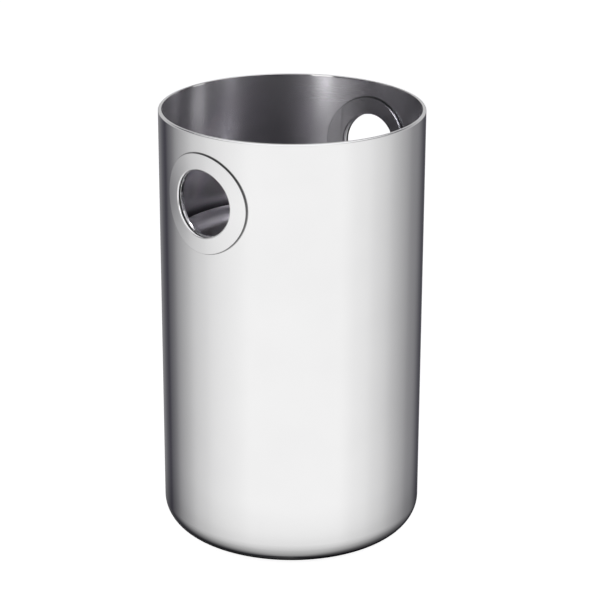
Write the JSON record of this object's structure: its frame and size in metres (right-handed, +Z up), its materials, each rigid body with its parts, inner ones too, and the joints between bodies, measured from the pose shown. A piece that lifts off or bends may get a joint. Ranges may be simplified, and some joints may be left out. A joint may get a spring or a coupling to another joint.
{
  "type": "champagne bucket stand",
  "caption": "Tall round polished steel stand with a closed rounded base, a double wall, flanged grip holes and a round-topped seat ring inside the well that carries a champagne bucket.",
  "frame": {"origin": "on the floor under the stand, at the centre of its round body", "axes": "+Z up along the body's axis, X through the two grip holes (left grip at -X, right grip at +X), -Y is the front"},
  "size_m": [0.244, 0.24, 0.4015],
  "materials": {
    "polished_steel": "polished",
    "satin_steel": "satin",
    "pad_rubber": "matte"
  },
  "bodies": {
    "root": {"outer_shell": "polished_steel", "rim_ring": "polished_steel", "inner_liner": "satin_steel", "seat_ring_1": "satin_steel", "seat_ring_2": "satin_steel", "seat_ring_3": "satin_steel", "seat_ring_4": "satin_steel", "grip_flange_left": "polished_steel", "grip_sleeve_left": "polished_steel", "grip_backing_ring_left": "satin_steel", "grip_flange_right": "polished_steel", "grip_sleeve_right": "polished_steel", "grip_backing_ring_right": "satin_steel", "foot_pad_1": "pad_rubber", "foot_pad_2": "pad_rubber", "foot_pad_3": "pad_rubber", "foot_pad_4": "pad_rubber"}
  },
  "joints": []
}
